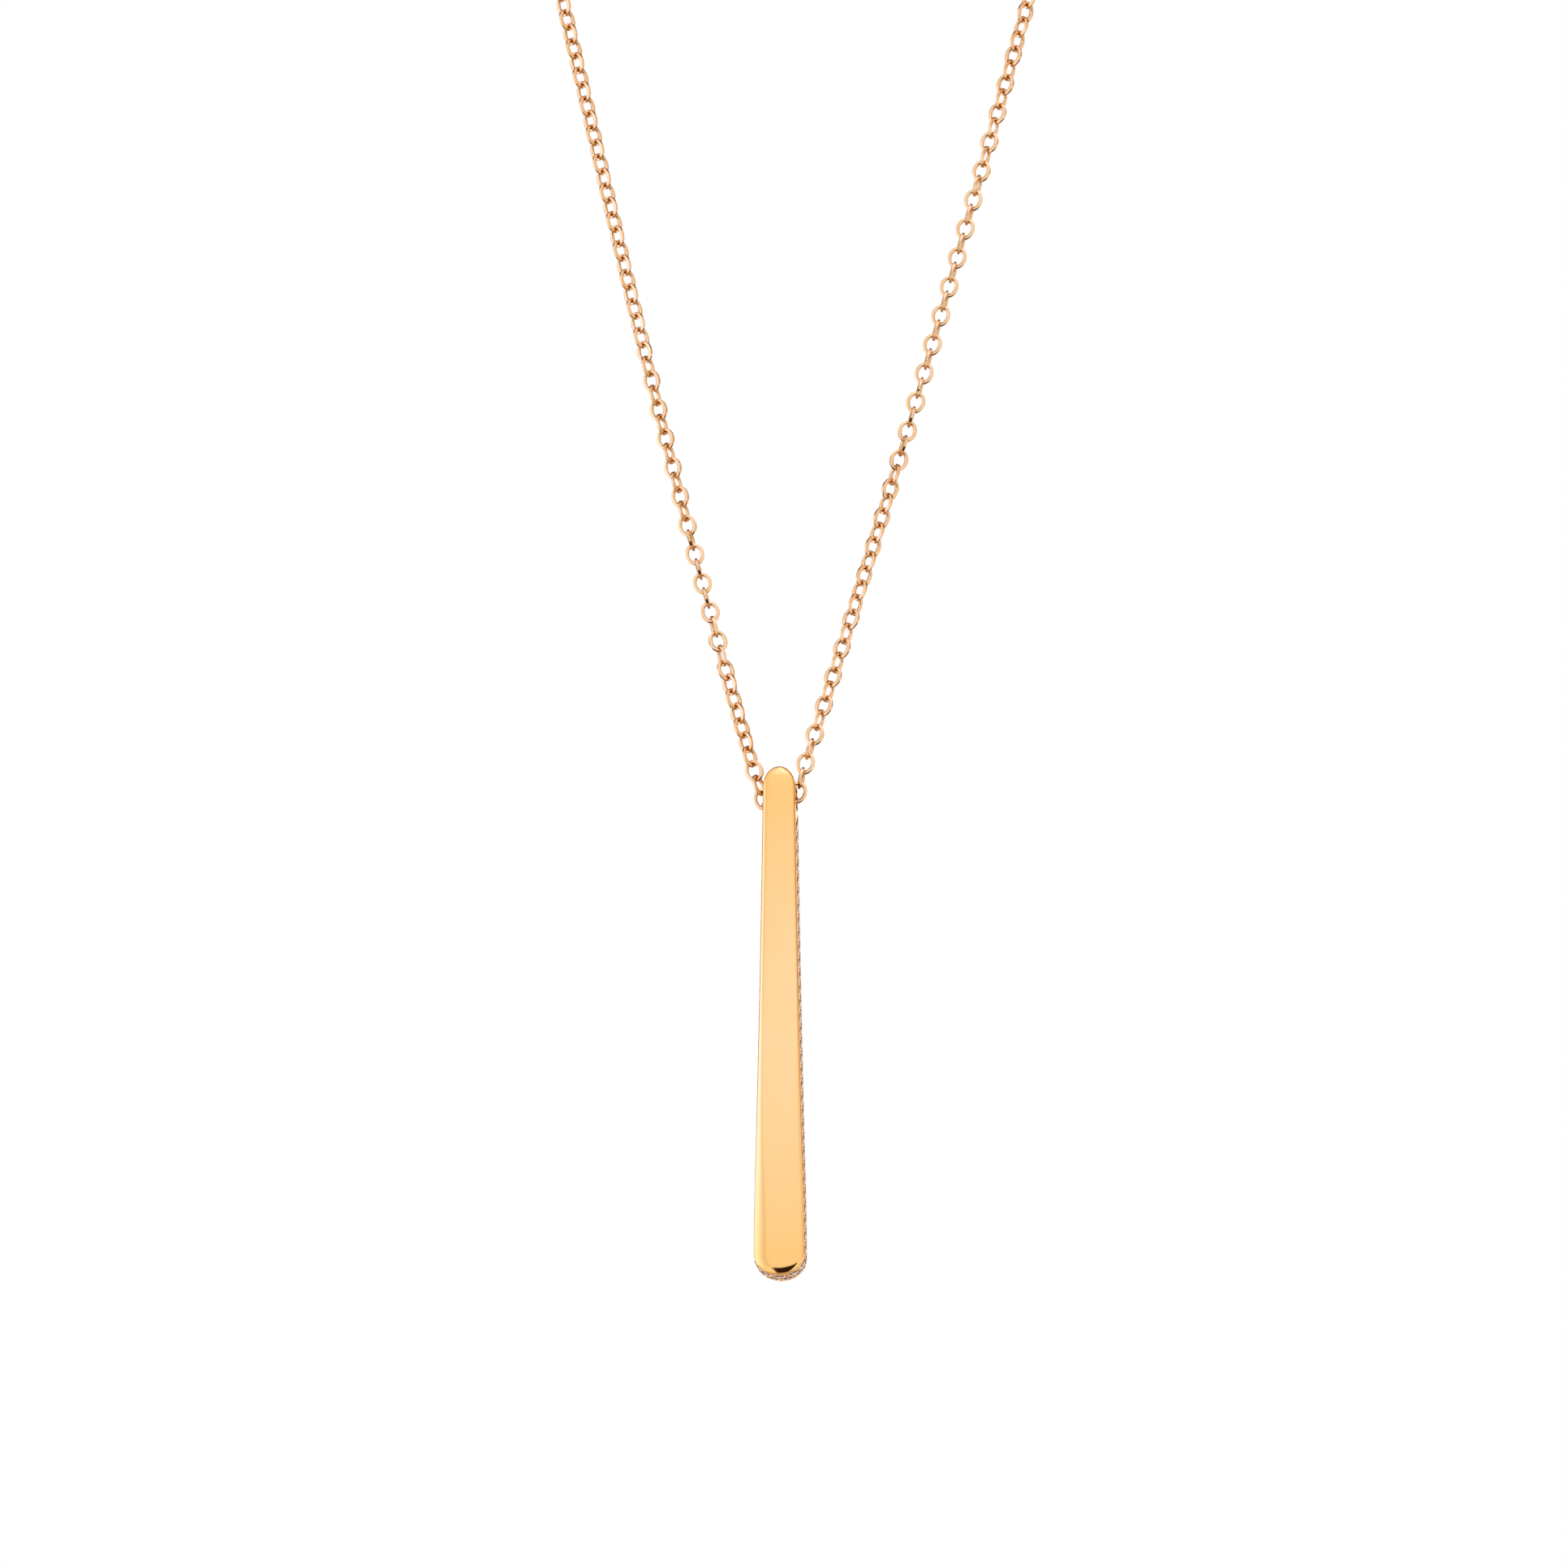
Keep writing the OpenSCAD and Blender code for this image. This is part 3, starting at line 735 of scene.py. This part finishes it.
def bead_row(s, y, radius):
    """Beads of one radius at the lengths s, as rows of s, y and radius."""
    return np.stack([s, np.broadcast_to(y, s.shape), np.full(s.shape, radius)], -1)


def bead_places():
    """Places (s, y) and radii of the beads: between the rows and along both borders."""
    between = ROW_GAP / 2 - (ROW_GAP ** 2 - (PITCH / 2) ** 2) / (2 * ROW_GAP)
    groups = []
    for row in (-1, 1):
        centres = stones_s[row]
        gaps = (centres[:-1] + centres[1:]) / 2
        ends = np.array([centres[0] - PITCH / 2, centres[-1] + PITCH / 2])
        rim = np.concatenate([gaps, ends])
        groups += [bead_row(gaps, ROWS_Y + row * between, BEAD_R),
                   bead_row(rim, ROW_Y[row] + row * BORDER_BEAD_OFF, BORDER_BEAD_R),
                   bead_row(ends, ROWS_Y + row * END_BEAD_OFF, END_BEAD_R)]
    return np.concatenate(groups)


def add_domes(skin, places, sides=8):
    """Small domes on the wall: rings of a sphere from just below the surface to a flat-topped tip."""
    lift = np.radians(BEAD_RINGS)
    turn = np.arange(sides) * 2 * np.pi / sides
    radius = places[:, 2]
    out_r = radius[:, None, None] * np.cos(lift)[None, :, None]
    s = places[:, 0][:, None, None] + out_r * np.cos(turn)
    y = places[:, 1][:, None, None] + out_r * np.sin(turn)
    height = radius[:, None, None] * np.sin(lift)[None, :, None] - BEAD_SUNK + 0.0 * y
    points = on_wall(s, y, -height)
    skin.add(points, repeated(grid_faces(len(lift), sides, loop=True), len(places), len(lift) * sides))
    tip = on_wall(places[:, 0], places[:, 1], BEAD_SUNK - radius * BEAD_TIP)
    skin.add(np.concatenate([points[:, -1], tip[:, None]], 1), fan_faces(len(places), sides))


beads = Skin()
add_domes(beads, bead_places())
beads.build("pave_beads", "pendant", BEAD_GOLD, weld=0.0008)

# %% [markdown]
# ## The chain
# The links follow the route of the construction, given again here in its own millimetres.
# Beside the hole the route is the links' own, because a ring stands upright at each side of
# the bar. All the joints of a strand are the same distance apart.

# %% Chain route
LEFT = [
    [-12.5, -2.2, 0], [-23, -8.3, 0], [-31, -17.7, 0], [-35.4, -29.5, 0], [-36, -36, 0],
    [-36, -42.5, -1.7], [-36, -47.3, -6.5], [-35.9, -49, -13], [-31.3, -49, -39],
    [-27.3, -49, -59], [-23.2, -49, -79], [-20, -49, -93], [-16.75, -49, -107.1],
    [-12, -49, -128], [-9.55, -49, -138.4], [-6.9, -49, -148.8], [-5.1, -49, -155.5],
    [-4.44, -49, -157.8], [-4.17, -49, -158.63]]
RIGHT = [
    [-1.8, -49, -158.23], [-1.6, -49, -157.33], [-1, -49, -155.4], [1, -49, -148.9],
    [4.05, -49, -138.7], [7, -49, -128.4], [12.65, -49, -107.8], [16.5, -49, -94],
    [20.4, -49, -79], [25.4, -49, -59], [30.3, -49, -39], [35.9, -49, -13], [36, -47.3, -6.5],
    [36, -42.5, -1.7], [36, -36, 0], [35.4, -29.5, 0], [31, -17.7, 0], [23, -8.3, 0],
    [12.5, -2.2, 0]]
LEFT_END, RIGHT_END = [-3.45, -0.16, 0], [3.78, -0.2, 0]      # inside the end ring, inside the eye
MIDDLE = HOLE + [-0.02, 0, -0.25]                             # the joint inside the bar
LEFT_MOUTH, RIGHT_MOUTH = HOLE + [-0.93, 0, -0.5], HOLE + [0.9, 0, -0.1]
LINK_PITCH = 0.95                              # the wanted distance between joints
ROUTE_STEP = 0.02                              # spacing of the points along the route
PITCH_TRIES, PITCH_GAIN = 6, 0.97              # tries at tuning the pitch, and how boldly each corrects it


def smooth_route(points):
    """A curve through the points, each heading weighted by the lengths on either side of it."""
    p = np.array(points, float)
    step = np.diff(p, axis=0)
    length = np.linalg.norm(step, axis=1)
    heading = np.empty_like(p)
    heading[0], heading[-1] = step[0] / length[0], step[-1] / length[-1]
    a, b, la, lb = step[:-1], step[1:], length[:-1, None], length[1:, None]
    heading[1:-1] = (a * lb / la + b * la / lb) / (la + lb)
    pieces = []
    for i, run in enumerate(length):
        t = np.arange(0, 1, ROUTE_STEP / run)[:, None]
        m, n = heading[i] * run, heading[i + 1] * run
        pieces.append(p[i] * (1 - 3 * t ** 2 + 2 * t ** 3) + m * (t - 2 * t ** 2 + t ** 3)
                      + p[i + 1] * (3 * t ** 2 - 2 * t ** 3) + n * (t ** 3 - t ** 2))
    return np.concatenate(pieces + [p[-1:]])


def walk(path, pitch, count):
    """Joints the same straight distance apart along the path, and how much of the path they used."""
    joints, at = [path[0]], 0
    window = int(pitch / ROUTE_STEP) * 2
    for _ in range(count):
        ahead = path[at:at + window]
        away = np.linalg.norm(ahead - joints[-1], axis=1)
        k = int(np.argmax(away >= pitch)) or len(away) - 1
        share = (pitch - away[k - 1]) / (away[k] - away[k - 1])
        joints.append(ahead[k - 1] * (1 - share) + ahead[k] * share)
        at += k - 1
    return np.array(joints), at / (len(path) - 1)


def strand_joints(points):
    """Joints from the middle of the bar out to the strand's end; the pitch is tuned to reach it."""
    path = smooth_route(points)
    total = np.linalg.norm(np.diff(path, axis=0), axis=1).sum()
    count = round(total / LINK_PITCH)
    pitch = total / count
    for _ in range(PITCH_TRIES):
        joints, used = walk(path, pitch, count)
        pitch *= 1 + (1 - used) * PITCH_GAIN
    joints[-1] = path[-1]
    print("strand", round(total, 1), "mm", count, "links, pitch", round(pitch, 4))
    return joints


left_joints = strand_joints([MIDDLE, LEFT_MOUTH, *LEFT[::-1], LEFT_END])
right_joints = strand_joints([MIDDLE, RIGHT_MOUTH, *RIGHT, RIGHT_END])

# %% [markdown]
# Each link spans two joints and is turned a quarter against the last. The strands also twist,
# by amounts that were read off enlarged parts of the photograph. The two edges of the
# wire's outer flat are kept sharp, as a cut chain has them. Painted shade darkens the gold where one
# link lies in the next, and a painted dark reflection runs along the wire's inner and outer edges.

# %% Links
WIRE, LINK_W, PLAY = 0.23, 1.18, 0.015
WIRE_SIDES, RING_SIDES = 6, 16
WIRE_SLACK = 0.98                              # keeps the wire's flat sides just inside its thickness
# Painted dark reflection along the wire's edges, and painted shade where links meet.
EDGE_PAINTED_REFLECTION, JOINT_PAINTED_SHADE = 0.25, 0.75             # along the ring's inside and outside; where links meet


def link_frames(joints, twist_knots, end_roll):
    """For each link: middle, direction, width direction, and half length, turned by the twist."""
    along = np.diff(joints, axis=0)
    chord = np.linalg.norm(along, axis=1)
    along /= chord[:, None]
    front = [np.array([0.0, -1.0, 0.0])]
    for t in along[1:]:
        f = front[-1] - (front[-1] @ t) * t
        front.append(f / np.linalg.norm(f))
    front = np.array(front)
    side = np.cross(along, front)
    count = len(along)
    index, extra = zip(*twist_knots)
    last = count - 1
    wanted = end_roll + 90 * (last - 1)
    wanted += 180 * round((extra[-1] - wanted) / 180)
    twist = np.interp(np.arange(count), [*index, last - 4, last], [*extra, wanted, wanted])
    roll = np.radians(twist - 90 * (np.arange(count) - 1))[:, None]
    width = side * np.cos(roll) + front * np.sin(roll)
    return (joints[1:] + joints[:-1]) / 2, along, width, chord / 2


def add_links(skin, middle, along, width, half):
    """Oval links: an ellipse swept by a hexagon of wire, flat side out, with painted shade where they meet
    and a painted dark reflection along the wire's inner and outer edges.
    """
    t = np.arange(RING_SIDES) * 2 * np.pi / RING_SIDES
    k = np.radians((np.arange(WIRE_SIDES) + 0.5) * 360 / WIRE_SIDES)
    a = (half + (PLAY + WIRE) / 2)[:, None, None]
    b = (LINK_W - WIRE) / 2
    flat = 0.5 * WIRE / np.cos(np.radians(180 / WIRE_SIDES)) * WIRE_SLACK
    out_l, out_w = b * np.cos(t)[None, :, None], a * np.sin(t)[None, :, None]
    size = np.sqrt(out_l ** 2 + out_w ** 2)
    swing = flat * np.cos(k)[None, None, :]
    l = a * np.cos(t)[None, :, None] + out_l / size * swing
    w = b * np.sin(t)[None, :, None] + out_w / size * swing
    n = np.broadcast_to(flat * np.sin(k)[None, None, :], l.shape)
    normal = np.cross(along, width)
    points = (middle[:, None, None] + l[..., None] * along[:, None, None]
              + w[..., None] * width[:, None, None] + n[..., None] * normal[:, None, None])
    count = RING_SIDES * WIRE_SIDES
    one = grid_faces(RING_SIDES + 1, WIRE_SIDES, loop=True) % count        # the last ring is the first
    # Painted dark reflection along the wire's inner and outer edges, and painted shade darkest where one link
    # lies in the next.
    edge_painted_reflection = EDGE_PAINTED_REFLECTION * np.abs(np.cos(k))
    joint_painted_shade = JOINT_PAINTED_SHADE * np.clip(-np.cos(k), 0, 1) * np.cos(t)[:, None] ** 4
    tone = np.broadcast_to(edge_painted_reflection + joint_painted_shade, points.shape[:3])
    skin.add(points, repeated(one, len(middle), count), tone)


def cut_edges(mesh):
    """Marks the two long edges beside each link's outer flat as sharp, so the cut side stays flat."""
    ends = np.empty(len(mesh.edges) * 2, np.int32)
    mesh.edges.foreach_get("vertices", ends)
    k = ends.reshape(-1, 2) % WIRE_SIDES
    sharp = (k[:, 0] == k[:, 1]) & ((k[:, 0] == 0) | (k[:, 0] == WIRE_SIDES - 1))
    mesh.attributes.new("sharp_edge", "BOOLEAN", "EDGE").data.foreach_set("value", sharp)


# Twist of each strand: the link's number counted from the bar, and its extra turn in degrees.
LEFT_TWIST = [
    (0, -30), (1, 0), (2, 28), (3, 14), (4, 38), (5, 45), (9.5, 45), (11, 68), (13, 75),
    (15, 90), (18, 90), (21, 112), (30, 115), (33, 135), (60, 135)]
RIGHT_TWIST = [
    (0, -30), (1, 0), (4, 5), (7, 22), (13, 28), (15, 42), (19, 45), (22, 50), (24, 68),
    (27, 80), (30, 90), (40, 90), (46, 108), (52, 118), (54, 135), (60, 135)]
links = Skin()
for joints, twist, roll in ((left_joints, LEFT_TWIST, 90), (right_joints, RIGHT_TWIST, 0)):
    add_links(links, *link_frames(joints, twist, roll))
chain_links = links.build("chain_links", "necklace", CHAIN_GOLD)
cut_edges(chain_links.data)
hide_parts("chain")

# %% [markdown]
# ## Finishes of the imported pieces, the floor, and the sizes
# The stones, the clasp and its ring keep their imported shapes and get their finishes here.

# %% Finishes and floor
for node, material in (("pave_stones", STONE), ("clasp", CLASP_GOLD), ("end_ring", CLASP_GOLD)):
    obj = frame["nodes"][node]
    for slot in obj.material_slots:
        slot.material = material
    print(node, len(obj.material_slots), "slot")


FLOOR_R, FLOOR_Z, FLOOR_CORNERS = 4, -0.6, 96  # metres, and corners round it


def floor():
    """A plain pale round floor far below the pendant; the gold doesn't mirror it."""
    material, shader = new_material("pale_floor")
    tree = material.node_tree
    place_on = place(tree, "ShaderNodeTexCoord").outputs["Object"]
    grain = place(tree, "ShaderNodeTexNoise", {"Vector": place_on, "Scale": 40.0})
    pale = place(tree, "ShaderNodeMix", {
        0: grain.outputs["Fac"], 6: (0.86, 0.86, 0.86, 1), 7: (0.9, 0.9, 0.9, 1)}, data_type="RGBA")
    tree.links.new(pale.outputs[2], shader.inputs["Base Color"])
    shader.inputs["Roughness"].default_value = 0.9
    t = np.linspace(0, 2 * np.pi, FLOOR_CORNERS, endpoint=False)
    mesh = bpy.data.meshes.new("floor")
    points = np.stack([FLOOR_R * np.cos(t), FLOOR_R * np.sin(t), np.full_like(t, FLOOR_Z)], -1)
    mesh.from_pydata(points.tolist(), [], [list(range(FLOOR_CORNERS))])
    mesh.materials.append(material)
    obj = bpy.data.objects.new("floor", mesh)
    obj.visible_glossy = False
    bpy.context.collection.objects.link(obj)


floor()
